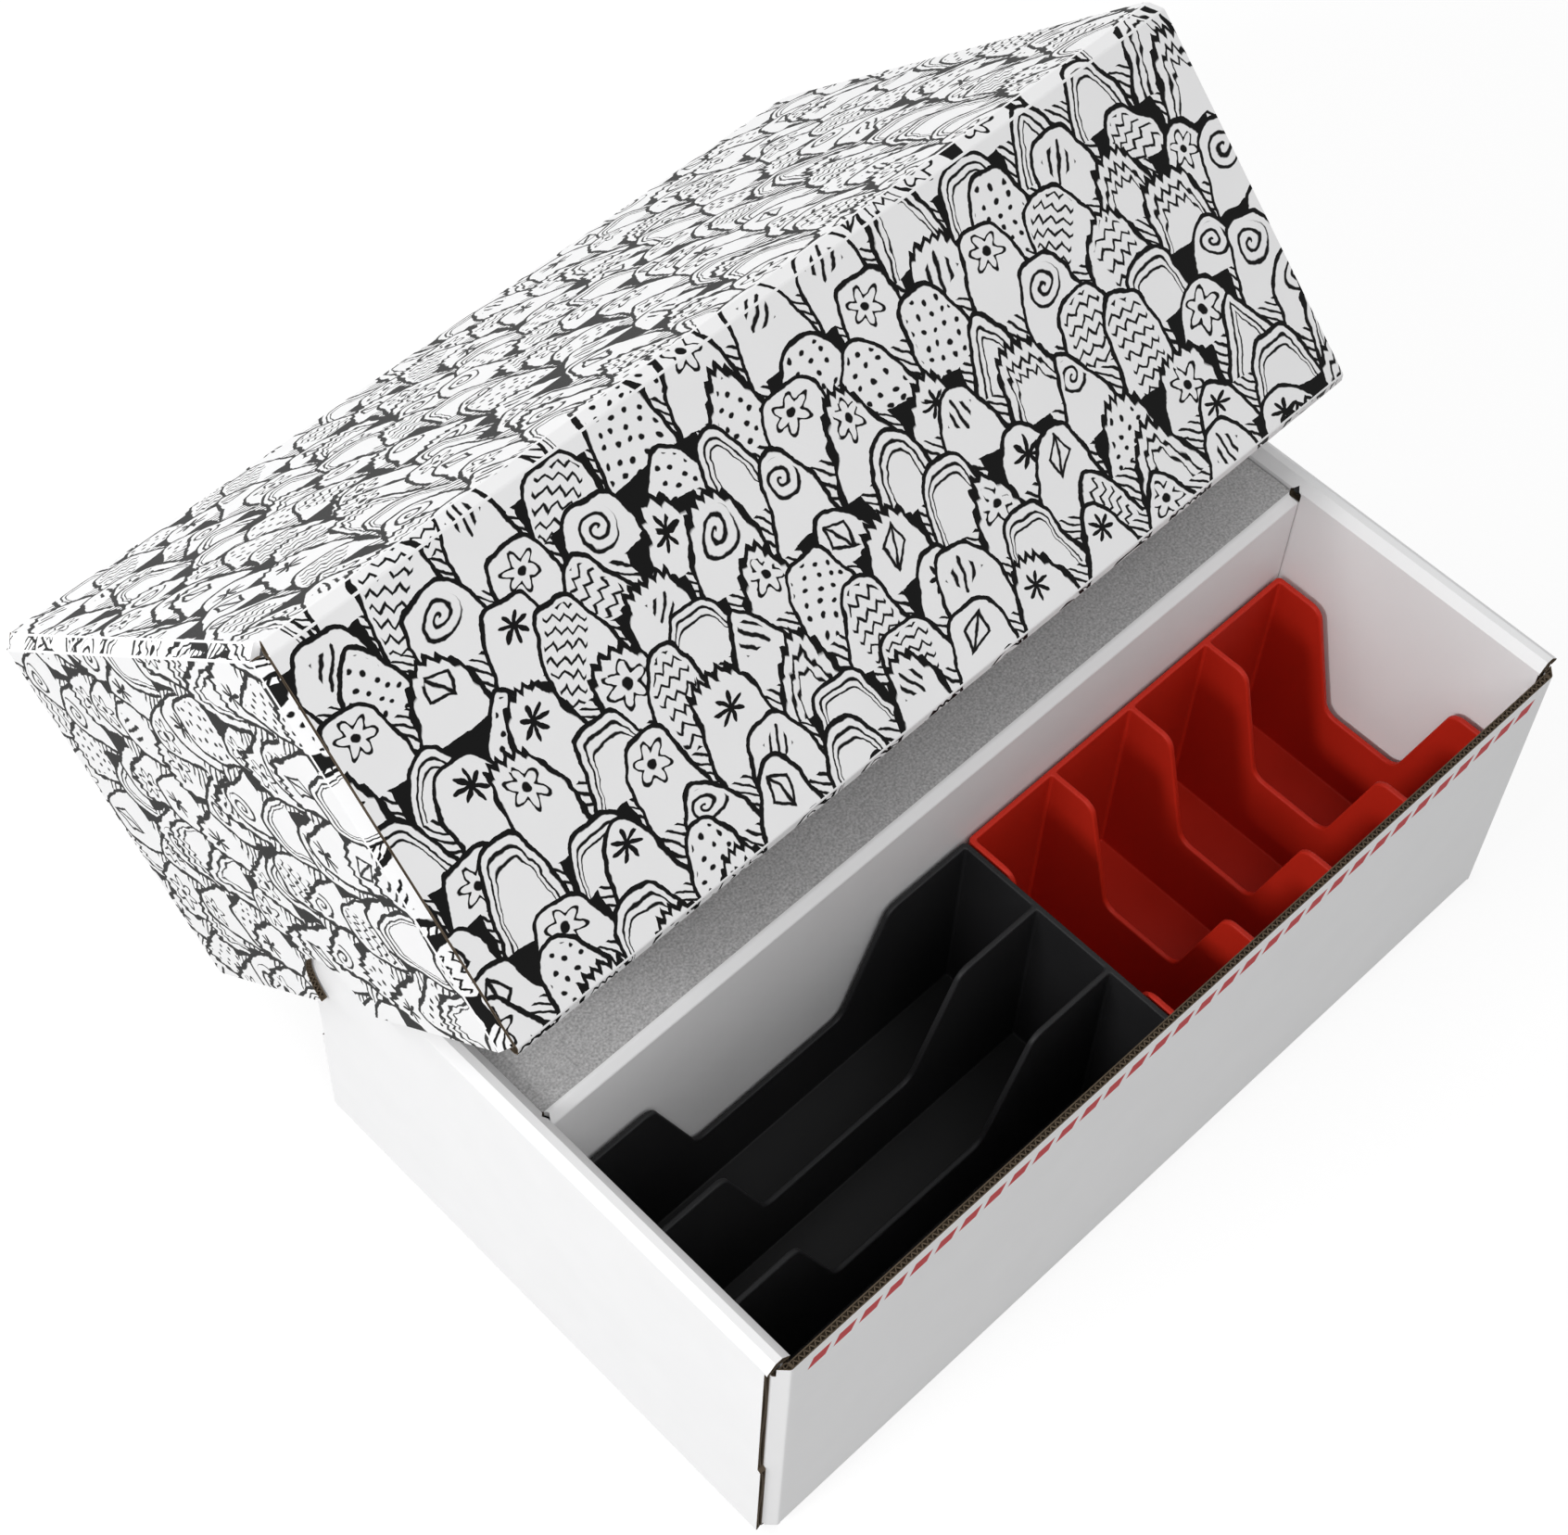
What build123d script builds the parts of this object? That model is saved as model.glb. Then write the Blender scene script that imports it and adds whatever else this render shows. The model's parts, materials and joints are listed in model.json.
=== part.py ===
"""Card storage box: a corrugated base with a hollow rear step, a full-depth lift-off lid shown tilted
over the base, and two card trays that lift out of the front compartment.

Millimetres, +Z up, origin at the middle of the base's underside, front wall towards -Y.
"""

import math
import os

from build123d import *

os.makedirs("parts", exist_ok=True)

# Corrugated board and its creases
board = 2.0  # thickness of the fluted board
fold = 3.2  # leg of the bevel that a crease leaves on an outer edge
panel_gap = 0.3  # play between a folded-in panel and its neighbours
corner_gap = 3.0  # a corner fold starts this far from the flat panel's outer face
edge_setback = 2.8  # a double wall's raw side edges, behind the face of the wall beside them
flap_length = 72.0  # tuck flap, along the double wall that hides it
flap_shoulder = 4.0  # step that lets a tuck flap pass under the rolled rim
cut_overrun = 5.0  # how far cutting bodies pass the faces they cut

# Base carton
base_length = 296.7
base_width = 175.6
base_height = 111.2  # to the rolled rims of the end walls
front_drop = 3.1  # raw edge of the front wall, below the rims
end_wall_slack = 1.4  # loose space inside a double end wall
end_rim_bevel = 2.6
edge_step = 1.0  # an end wall's side edges lie this much further in high up
edge_step_share = 0.4  # share of the base's height where that begins

# Hollow rear step: back wall, deck and divider are one folded strip
compartment_depth = 84.4  # front wall to divider, inside
deck_drop = 4.0  # deck below the rims
ridge_bevel = 2.4  # bevel between deck and divider
ridge_corner = 1.6  # corner cut off the ridge at an end wall, along the box
ridge_slot_width = 3.8  # pointed slot in the end wall beside that corner
ridge_slot_lead = 0.2  # how far the slot lies ahead of the divider
ridge_slot_point = 1.9  # rise of its point, into the rolled rim

# Tabs that lock the folded-in panels into the floor
tab_width = 32.0
tab_pitch_share = 0.5  # distance between a panel's tabs, as a share of its length
slot_clearance = 0.3

# Lid carton
lid_clearance = 0.5  # lid over base, each side
lid_headroom = 1.9  # over the rims of the base when closed
lid_wall_slack = 0.2
lid_rim_bevel = 2.0
lid_end_short = 2.3  # its single end walls stop this far above the rims
thumb_radius = 16.1  # half-round thumb notch in each end of the lid
lid_tilt = 45.1  # degrees, lid tipped back over the rear of the base
lid_front_edge_back = 86.1  # its lower front edge, behind the front of the base
lid_front_edge_up = 151.9  # and above the surface that the base stands on

# Card trays
tray_height = 71.0
tray_wall = 1.7
tray_corner = 1.6
slot_corner = 0.8
tray_front_play = 0.3  # to the crease of the front wall
tray_back_play = 1.1  # to the divider
tray_end_play = 1.8  # to each end wall
tray_gap = 0.6  # between the two trays
black_tray_share = 0.5326  # black tray's part of the trays' joint length
black_slots = 3
red_slots = 4
notch_depth = 40.0
notch_corner = 5.0
black_notch_floor = 55.0
black_notch_mouth = 86.5
red_notch_floor = 26.0
red_notch_mouth = 48.0

# Sizes that follow from those
crease = board * math.tan(math.pi / 8)  # mitre of one board thickness at a half-square fold
fold_run = fold + crease  # from an outer edge to the flat of the next panel
end_wall = 3 * board + end_wall_slack
lid_wall = 3 * board + lid_wall_slack
side_reach = base_width / 2
end_reach = base_length / 2
front_height = base_height - front_drop
deck_height = base_height - deck_drop
end_joint = base_height - end_rim_bevel - crease  # where an end wall's panels meet its rim
divider_front = compartment_depth + board - side_reach
step_half_length = end_reach - end_wall - panel_gap
lid_length = base_length + 2 * (board + lid_clearance)
lid_width = base_width + 2 * (lid_wall + lid_clearance)
lid_height = base_height + lid_headroom + board
lid_end_height = lid_height - lid_end_short

tray_front = fold_run + tray_front_play - side_reach
tray_width = divider_front - tray_back_play - tray_front
tray_middle = tray_front + tray_width / 2
tray_run = base_length - 2 * (end_wall + tray_end_play) - tray_gap
black_length = tray_run * black_tray_share
red_length = tray_run - black_length
black_middle = (black_length - tray_run - tray_gap) / 2
red_middle = (tray_run + tray_gap - red_length) / 2

# A carton's plane lies on the outside of its flat panel and looks into the carton
base = Plane.XY
front = -base.y_dir
back = base.y_dir
left = -base.x_dir
lid_up = Vector(0, 0, 1).rotate(Axis.X, -lid_tilt)
lid_back = Vector(0, 1, 0).rotate(Axis.X, -lid_tilt)
lid_front_edge = Vector(0, lid_front_edge_back - side_reach, lid_front_edge_up)
lid = Plane(
    origin=lid_front_edge + lid_back * (lid_width / 2) + lid_up * lid_height,
    x_dir=Vector(1, 0, 0),
    z_dir=-lid_up,
)
lid_middle = Plane(origin=lid.origin, x_dir=lid.x_dir, z_dir=lid_back)


def keep(piece, name):
    """Label a finished piece and write it."""
    piece.part.label = name
    export_step(piece.part, f"parts/{name}.step")


def mirrored(piece, plane):
    """The like piece on the other side of a carton."""
    with BuildPart() as other:
        mirror(piece.part, about=plane)
    return other


def section(carton, outward):
    """Plane across a wall: x outwards from the carton's middle, y away from its flat panel."""
    return Plane(origin=carton.origin, x_dir=outward, z_dir=outward.cross(carton.z_dir))


def wall_face(carton, outward, distance):
    """Plane on a wall's face: y away from the carton's flat panel, looking outwards."""
    origin = carton.origin + outward * distance
    return Plane(origin=origin, x_dir=carton.z_dir.cross(outward), z_dir=outward)


def board_profile(plane, outer_points):
    """Edge view of a folded board that follows the outer points, its thickness to their left."""
    with BuildSketch(plane) as profile:
        with BuildLine():
            Polyline(*outer_points)
            offset(amount=board, side=Side.LEFT, kind=Kind.INTERSECTION)
        make_face()
    return profile.sketch


def wall_points(reach, top):
    """Outer face of a wall, from the crease of the flat panel to its top."""
    return [(reach - fold_run, 0), (reach - fold, 0), (reach, fold), (reach, top)]


def rim_points(reach, height, wall, bevel):
    """Outer face of a rolled rim, from the outer panel over to the inner one."""
    return [
        (reach, height - bevel - crease),
        (reach, height - bevel),
        (reach - bevel, height),
        (reach - wall + bevel, height),
        (reach - wall, height - bevel),
        (reach - wall, height - bevel - crease),
    ]


def tab_profile(plane, half_length):
    """The two lock tabs at the foot of a folded-in panel."""
    with BuildSketch(plane) as tabs:
        with Locations((0, board)):
            with GridLocations(2 * half_length * tab_pitch_share, 0, 2, 1):
                Rectangle(tab_width, board - slot_clearance, align=(Align.CENTER, Align.MAX))
    return tabs.sketch


def inner_profile(plane, half_length, top):
    """Outline of a double wall's folded-in panel, its feet clear of the creases at both ends."""
    with BuildSketch(plane) as outline:
        with Locations((0, board)):
            Rectangle(2 * half_length, top - board, align=(Align.CENTER, Align.MIN))
        chamfer(outline.vertices().group_by(Axis.Y)[0], length=fold_run - board + panel_gap)
    return outline.sketch


def crease_corners(plane, half_length):
    """Corners cut off both ends of a double wall's crease."""
    with BuildSketch(plane) as corners:
        with BuildLine():
            Polyline(
                (half_length, 0),
                (half_length, fold),
                (half_length + edge_setback - fold_run, 0),
                close=True,
            )
        make_face()
        mirror(about=Plane.YZ)
    return corners.sketch


def ridge_corners():
    """Plan of the corners cut off the ridge at both end walls."""
    with BuildSketch(base.offset(deck_height)) as corners:
        with BuildLine():
            Polyline(
                (step_half_length, divider_front),
                (step_half_length, divider_front + ridge_slot_width),
                (step_half_length - ridge_corner, divider_front + ridge_bevel),
                close=True,
            )
        make_face()
        mirror(about=Plane.YZ)
    return corners.sketch


def ridge_slot(plane):
    """Pointed slot beside the ridge, in an end wall's inner panel and rim."""
    near = ridge_slot_lead - divider_front
    far = near - ridge_slot_width
    foot = deck_height - ridge_bevel
    with BuildSketch(plane) as slot:
        with BuildLine():
            Polyline(
                (near, foot),
                (near, end_joint),
                ((near + far) / 2, end_joint + ridge_slot_point),
                (far, end_joint),
                (far, foot),
                close=True,
            )
        make_face()
    return slot.sketch


def tuck_flap(carton, outward, single_reach, double_reach, wall_top, flap_top):
    """Flap at the end of a single wall: a bevelled corner fold, then the flap inside the double wall."""
    hidden_reach = double_reach - board
    flap_end = single_reach - flap_length
    edge = single_reach - edge_setback + panel_gap
    plan = Plane(origin=carton.origin, x_dir=outward.cross(carton.z_dir), z_dir=carton.z_dir)
    outer_points = [
        (hidden_reach, flap_end),
        (hidden_reach, single_reach - fold),
        (hidden_reach - fold, single_reach),
        (hidden_reach - fold_run, single_reach),
    ]
    with BuildPart() as piece:
        extrude(board_profile(plan.offset(corner_gap), outer_points), amount=wall_top - corner_gap)
        # Only the corner fold reaches the wall's two ends: the flap stops short of creases and rim
        for low, high in ((0, fold_run + panel_gap), (flap_top, wall_top + cut_overrun)):
            with BuildSketch(plan.offset(low)):
                with Locations((hidden_reach, edge)):
                    Rectangle(2 * fold_run, flap_length + cut_overrun, align=(Align.CENTER, Align.MAX))
            extrude(amount=high - low, mode=Mode.SUBTRACT)
    return piece


# Base: floor with slots for the tabs
end_inner_half = side_reach - edge_setback - panel_gap
end_inner_line = end_reach - end_wall + board / 2
slot_length = tab_width + 2 * slot_clearance
slot_width = board + 2 * slot_clearance
with BuildPart() as base_floor:
    with BuildSketch(base):
        Rectangle(base_length - 2 * fold_run, base_width - 2 * fold_run)
        with GridLocations(2 * end_inner_line, 2 * end_inner_half * tab_pitch_share, 2, 2):
            Rectangle(slot_width, slot_length, mode=Mode.SUBTRACT)
        with Locations((0, divider_front + board / 2)):
            with GridLocations(2 * step_half_length * tab_pitch_share, 0, 2, 1):
                Rectangle(slot_length, slot_width, mode=Mode.SUBTRACT)
    extrude(amount=board)
keep(base_floor, "base_floor")

# Base: front wall with its raw top edge
single_half = end_reach - board - fold_run
with BuildPart() as base_front_wall:
    front_points = wall_points(side_reach, front_height)
    extrude(board_profile(section(base, front), front_points), amount=single_half, both=True)
keep(base_front_wall, "base_front_wall")

# Base: back wall, folding over into the deck between the end walls
back_shoulder = deck_height - fold_run - panel_gap
shoulder_width = single_half - step_half_length
back_points = wall_points(side_reach, deck_height - fold)
back_points += [(side_reach - fold, deck_height), (side_reach - fold_run, deck_height)]
with BuildPart() as base_back_wall:
    extrude(board_profile(section(base, back), back_points), amount=single_half, both=True)
    with BuildSketch(wall_face(base, back, side_reach)):
        with Locations((0, back_shoulder)):
            with GridLocations(2 * step_half_length + shoulder_width, 0, 2, 1):
                Rectangle(shoulder_width, base_height, align=(Align.CENTER, Align.MIN))
    extrude(amount=-fold_run - board, mode=Mode.SUBTRACT)
keep(base_back_wall, "base_back_wall")

# Base: deck of the rear step
deck_front = divider_front + ridge_bevel + crease
deck_depth = side_reach - fold_run - deck_front
ridge_cut = -ridge_bevel - board
with BuildPart() as base_deck:
    with BuildSketch(base.offset(deck_height - board)):
        with Locations((0, deck_front)):
            Rectangle(2 * step_half_length, deck_depth, align=(Align.CENTER, Align.MIN))
    extrude(amount=board)
    extrude(ridge_corners(), amount=ridge_cut, mode=Mode.SUBTRACT)
keep(base_deck, "base_deck")

# Base: divider, hanging from the bevelled ridge and tabbed into the floor
divider_points = [
    (deck_front, deck_height),
    (divider_front + ridge_bevel, deck_height),
    (divider_front, deck_height - ridge_bevel),
    (divider_front, board),
]
with BuildPart() as base_divider:
    extrude(board_profile(section(base, back), divider_points), amount=step_half_length, both=True)
    extrude(tab_profile(wall_face(base, back, divider_front), step_half_length), amount=board)
    extrude(ridge_corners(), amount=ridge_cut, mode=Mode.SUBTRACT)
keep(base_divider, "base_divider")

# Base: double end walls, whose outer panels are narrower high up
end_section = section(base, left)
end_edge = side_reach - edge_setback
step_up = base_height * edge_step_share
crease_cut = -fold_run - board
outer_points = wall_points(end_reach, end_joint)
with BuildPart() as base_left_outer_wall:
    outer_face = wall_face(base, left, end_reach)
    extrude(board_profile(end_section, outer_points), amount=end_edge, both=True)
    extrude(crease_corners(outer_face, end_edge), amount=crease_cut, mode=Mode.SUBTRACT)
    with BuildSketch(outer_face):
        with BuildLine():
            Polyline(
                (end_edge, step_up),
                (end_edge - edge_step, step_up + edge_step),
                (end_edge - edge_step, base_height),
                (end_edge, base_height),
                close=True,
            )
        make_face()
        mirror(about=Plane.YZ)
    extrude(amount=-board, mode=Mode.SUBTRACT)

inner_face = wall_face(base, left, end_reach - end_wall)
with BuildPart() as base_left_rim:
    end_rim = rim_points(end_reach, base_height, end_wall, end_rim_bevel)
    extrude(board_profile(end_section, end_rim), amount=end_edge, both=True)
    extrude(ridge_slot(inner_face), amount=2 * board, mode=Mode.SUBTRACT)

with BuildPart() as base_left_inner_wall:
    extrude(inner_profile(inner_face, end_inner_half, end_joint), amount=board)
    extrude(tab_profile(inner_face, end_inner_half), amount=board)
    extrude(ridge_slot(inner_face), amount=board, mode=Mode.SUBTRACT)

end_pieces = {
    "outer_wall": base_left_outer_wall,
    "rim": base_left_rim,
    "inner_wall": base_left_inner_wall,
}
for name, piece in end_pieces.items():
    keep(piece, f"base_left_{name}")
    keep(mirrored(piece, Plane.YZ), f"base_right_{name}")

# Base: tuck flaps inside the end walls
front_left_flap = tuck_flap(
    base, front, side_reach, end_reach, front_height, front_height - flap_shoulder
)
back_right_flap = tuck_flap(
    base, back, side_reach, end_reach, back_shoulder, back_shoulder - flap_shoulder
)
keep(front_left_flap, "base_front_left_flap")
keep(mirrored(front_left_flap, Plane.YZ), "base_front_right_flap")
keep(back_right_flap, "base_back_right_flap")
keep(mirrored(back_right_flap, Plane.YZ), "base_back_left_flap")

# Lid: top panel
with BuildPart() as lid_top:
    with BuildSketch(lid):
        Rectangle(lid_length - 2 * fold_run, lid_width - 2 * fold_run)
    extrude(amount=board)
keep(lid_top, "lid_top")

# Lid: double long walls
lid_section = section(lid, -lid_back)
lid_side_reach = lid_width / 2
lid_end_reach = lid_length / 2
lid_joint = lid_height - lid_rim_bevel - crease
lid_edge = lid_end_reach - edge_setback
with BuildPart() as lid_front_outer_wall:
    lid_outer_points = wall_points(lid_side_reach, lid_joint)
    lid_outer_face = wall_face(lid, -lid_back, lid_side_reach)
    extrude(board_profile(lid_section, lid_outer_points), amount=lid_edge, both=True)
    extrude(crease_corners(lid_outer_face, lid_edge), amount=crease_cut, mode=Mode.SUBTRACT)

with BuildPart() as lid_front_rim:
    lid_rim = rim_points(lid_side_reach, lid_height, lid_wall, lid_rim_bevel)
    extrude(board_profile(lid_section, lid_rim), amount=lid_edge, both=True)

with BuildPart() as lid_front_inner_wall:
    lid_inner_half = lid_end_reach - fold_run - panel_gap
    lid_inner_face = wall_face(lid, -lid_back, lid_side_reach - lid_wall)
    extrude(inner_profile(lid_inner_face, lid_inner_half, lid_joint), amount=board)

long_pieces = {
    "outer_wall": lid_front_outer_wall,
    "rim": lid_front_rim,
    "inner_wall": lid_front_inner_wall,
}
for name, piece in long_pieces.items():
    keep(piece, f"lid_front_{name}")
    keep(mirrored(piece, lid_middle), f"lid_back_{name}")

# Lid: single end walls with a thumb notch
with BuildPart() as lid_left_end:
    lid_end_half = lid_side_reach - board - fold_run
    lid_end_points = wall_points(lid_end_reach, lid_end_height)
    extrude(board_profile(section(lid, left), lid_end_points), amount=lid_end_half, both=True)
    with BuildSketch(wall_face(lid, left, lid_end_reach)):
        with Locations((0, lid_end_height)):
            Circle(thumb_radius)
    extrude(amount=-2 * board, mode=Mode.SUBTRACT)
keep(lid_left_end, "lid_left_end")
keep(mirrored(lid_left_end, Plane.YZ), "lid_right_end")

# Lid: tuck flaps inside the long walls
front_flap = tuck_flap(
    lid, left, lid_end_reach, lid_side_reach, lid_end_height, lid_joint - panel_gap
)
back_flap = mirrored(front_flap, lid_middle)
keep(front_flap, "lid_front_left_flap")
keep(mirrored(front_flap, Plane.YZ), "lid_front_right_flap")
keep(back_flap, "lid_back_left_flap")
keep(mirrored(back_flap, Plane.YZ), "lid_back_right_flap")


def card_tray(middle, length, width, slot_count, notch_floor, notch_mouth):
    """Tray with slots along its length and a thumb notch across all the walls beside them."""
    pitch = (width - tray_wall) / slot_count
    notch_bottom = tray_height - notch_depth
    brim = notch_mouth / 2 + 2 * notch_corner
    across = Plane(origin=middle.origin, x_dir=middle.x_dir, z_dir=-middle.y_dir)
    with BuildPart() as tray:
        with BuildSketch(middle):
            RectangleRounded(length, width, tray_corner)
        extrude(amount=tray_height)
        with BuildSketch(middle.offset(tray_wall)):
            with GridLocations(0, pitch, 1, slot_count):
                RectangleRounded(length - 2 * tray_wall, pitch - tray_wall, slot_corner)
        extrude(amount=tray_height, mode=Mode.SUBTRACT)
        with BuildSketch(across) as notch:
            with BuildLine():
                Polyline(
                    (-notch_floor / 2, notch_bottom),
                    (notch_floor / 2, notch_bottom),
                    (notch_mouth / 2, tray_height),
                    (brim, tray_height),
                    (brim, tray_height + cut_overrun),
                    (-brim, tray_height + cut_overrun),
                    (-brim, tray_height),
                    (-notch_mouth / 2, tray_height),
                    close=True,
                )
            make_face()
            bends = notch.vertices().sort_by(lambda corner: abs(corner.X))[:4]
            fillet(bends, radius=notch_corner)
        extrude(amount=width, both=True, mode=Mode.SUBTRACT)
    return tray


# Trays, standing on the floor side by side: slots along the box in one, across it in the other
black_plane = Plane(origin=(black_middle, tray_middle, board))
red_plane = Plane(origin=(red_middle, tray_middle, board), x_dir=(0, 1, 0))
black_tray = card_tray(
    black_plane, black_length, tray_width, black_slots, black_notch_floor, black_notch_mouth
)
red_tray = card_tray(
    red_plane, tray_width, red_length, red_slots, red_notch_floor, red_notch_mouth
)
keep(black_tray, "black_tray")
keep(red_tray, "red_tray")
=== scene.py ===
"""Looks of a card storage box: coated corrugated board with raw fluted edges, a lid printed with line
work, and two moulded card trays. Everything is in metres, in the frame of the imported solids."""

import json
import math

import bmesh
import bpy
from bpy.props import FloatProperty, FloatVectorProperty, IntProperty, PointerProperty
from mathutils import Matrix, Vector
from mathutils.bvhtree import BVHTree


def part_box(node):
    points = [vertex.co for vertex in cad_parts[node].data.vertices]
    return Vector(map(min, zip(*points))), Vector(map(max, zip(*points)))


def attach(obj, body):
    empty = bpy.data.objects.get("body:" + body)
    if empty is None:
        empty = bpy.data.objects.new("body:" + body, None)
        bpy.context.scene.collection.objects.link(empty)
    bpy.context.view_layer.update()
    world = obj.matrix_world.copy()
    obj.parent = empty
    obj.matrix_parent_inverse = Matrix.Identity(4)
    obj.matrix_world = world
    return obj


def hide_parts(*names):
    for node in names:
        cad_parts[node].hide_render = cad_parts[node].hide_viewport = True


bl_info = {
    "name": "Card Storage Box",
    "version": (1, 0, 0),
    "blender": (4, 5, 0),
    "location": "3D View > Sidebar > Card Box",
    "description": "Dresses the packed card storage box in board, print and plastic",
    "category": "Object",
}

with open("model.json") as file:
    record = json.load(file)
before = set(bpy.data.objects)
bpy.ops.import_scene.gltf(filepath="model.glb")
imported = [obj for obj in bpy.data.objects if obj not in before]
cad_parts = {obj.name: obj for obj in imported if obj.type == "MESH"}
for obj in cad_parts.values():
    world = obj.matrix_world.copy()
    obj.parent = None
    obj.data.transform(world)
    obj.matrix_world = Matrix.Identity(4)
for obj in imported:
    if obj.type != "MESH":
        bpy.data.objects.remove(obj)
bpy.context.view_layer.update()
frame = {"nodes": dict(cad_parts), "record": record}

BODIES = frame["record"]["behaviour"]["bodies"]
TRAYS = {"black_tray": "black_plastic", "red_tray": "red_plastic"}

# Material slots of a dressed board panel
WHITE, KRAFT, PRINTED = 0, 1, 2

# Sockets of a Mix node by kind: first value, second value, result
MIX_SOCKETS = {"FLOAT": (2, 3, 0), "VECTOR": (4, 5, 1), "RGBA": (6, 7, 2)}

# Noise scales of paper, kraft and plastic, in waves per metre
CLOUD_SCALE, FIBRE_SCALE, FLECK_SCALE = 55.0, 2600.0, 1500.0
STREAK_SCALE, BLOTCH_SCALE = 2200.0, 320.0
GRAIN_SCALE, FLOW_SCALE = 2400.0, 45.0

# Strength and depth of the paper's bump
PAPER_BUMP, PAPER_RELIEF = 0.05, 0.0002

# Dashed rule on the front wall: its middle under the top edge, half its height, the bare wall at its
# ends and its soft edge
RULE_DROP, RULE_HALF, RULE_MARGIN, RULE_SOFT = 0.0072, 0.0023, 0.0045, 0.0001

# Dashes of the rule: their number and lean, then half of a dash and its soft end as shares of a cell
RULE_DASHES, RULE_LEAN, DASH_HALF, DASH_SOFT = 32, 0.4, 0.35, 0.01

# Softness of the print's edges, in centimetres, and the print's scale
INK_SOFT = 0.012
CENTIMETRES = 100.0

# Least part of a face's normal that points up and back on the lid's top, or ahead on the front wall
TOP_FACING, FRONT_FACING = 0.3, 0.9

# Reading of the CAD meshes: welding distance, angle still taken as flat, depths of the test rays,
# and how many board thicknesses still count as through the sheet
WELD, FLAT_ANGLE = 2e-6, math.radians(0.6)
SKIN, PROBE_DEPTH, PROBE_REACH = 1e-5, 2e-4, 3e-4
SHEET_LIMIT = 1.6

# Angles of a folded edge, its mitre, and the most between faces that belong to one cut edge
LEAST_FOLD, MOST_FOLD = math.radians(30), math.radians(60)
MITRE, SAME_EDGE = math.pi / 8, math.radians(35)

# Smallest cut edge that is opened, and the slope of an open edge's sides
LEAST_EDGE_AREA, EDGE_SLOPE = 3e-6, 3e-5

# Print at the corner folds: how far a face turns to the end, and what the fold adds across it
END_FACING, FOLD_EXTRA = 0.35, 0.41

# Fluting: how far it lies under an edge, and its gaps at a cut's ends
FLUTE_SINK = 2e-5
END_GAP, STEP_GAP, FOOT_GAP = 0.001, 0.002, 0.0005

# How far the front wall's fluting runs into its corner folds, and the share of the end walls' height
# at which their cut edges step in
CORNER_STOP, STEP_SHARE = 0.0021, 0.41

# Slow waves of the cuts that run along the flutes
LOW_WAVE, HIGH_WAVE, LID_WAVE = 0.037, 0.052, 0.045

# Thumb notch in the lid's ends: how far it stays from the sides and the top, and its steps
NOTCH_SIDE, NOTCH_TOP, NOTCH_STEPS = 0.001, 0.02, 24

# Trays: angle of an edge that is rounded, angles and area of a moulded corner's facets
TRAY_EDGE = math.radians(40)
LEAST_BEND, MOST_BEND = math.radians(2), math.radians(30)
FACET_AREA = 2e-4

# Photograph in pixels with its optical centre, and the camera's place and axes
PHOTO_WIDTH, PHOTO_HEIGHT = 1692, 1656
CENTRE_X, CENTRE_Y = 750.65, 783.81
SENSOR_WIDTH, NEAR_CLIP = 36.0, 0.01
CAMERA_PLACE = (-0.357956, -0.271870, 0.802836)
CAMERA_RIGHT = (0.72439, -0.68933, 0.009137)
CAMERA_AHEAD = (0.386841, 0.395474, -0.833039)

# Lamps: the point they look at, their places and their widths
LAMP_AIM = (0.0, 0.03, 0.12)
KEY_PLACE, KEY_WIDTH = (-1.75, 0.1, 1.0), 0.5
BACK_PLACE, FRONT_PLACE, FILL_WIDTH = (-0.4, 1.95, 0.6), (-0.5, -0.85, 1.62), 0.8

# Floor: half its width, the light it gives back, its shade and glow as seen, and where the glow ends
FLOOR_HALF, FLOOR_BOUNCE, FLOOR_SHADE = 4.0, 0.47, 0.24
FLOOR_GLOW, GLOW_RISE, GLOW_MIDDLE, GLOW_SPREAD = 0.8, 0.2, 1.1, 0.6
PURE_WHITE = (1.0, 1.0, 1.0, 1.0)


def board_nodes(body):
    """Names of a carton's board panels."""
    return sorted(BODIES[body])


def measure_lid():
    """The lid's own axes and its reach along them, from its top panel and its walls."""
    up = Vector()
    for face in frame["nodes"]["lid_top"].data.polygons:
        if face.normal.z > TOP_FACING and face.normal.y > TOP_FACING:
            up += face.normal * face.area
    up.normalize()
    back = Vector((0.0, up.z, -up.y))
    axes = Matrix((Vector((1.0, 0.0, 0.0)), back, up))
    corners = []
    for name in board_nodes("lid"):
        corners += [axes @ vertex.co for vertex in frame["nodes"][name].data.vertices]
    low = Vector([min(c[i] for c in corners) for i in range(3)])
    high = Vector([max(c[i] for c in corners) for i in range(3)])
    return axes, low, high


LID_AXES, LID_LOW, LID_HIGH = measure_lid()
LID_HALF_LENGTH = (LID_HIGH.x - LID_LOW.x) / 2
LID_HALF_WIDTH = (LID_HIGH.y - LID_LOW.y) / 2
LID_MIDDLE = (LID_LOW + LID_HIGH) / 2


def to_lid(point):
    """A point in the lid's own axes: along it, across it, and down from its top."""
    p = LID_AXES @ point
    return Vector((p.x - LID_MIDDLE.x, p.y - LID_MIDDLE.y, LID_HIGH.z - p.z))


def from_lid(along, across, down):
    """A point of the frame, from the lid's own axes."""
    local = Vector((LID_MIDDLE.x + along, LID_MIDDLE.y + across, LID_HIGH.z - down))
    return LID_AXES.transposed() @ local


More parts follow.
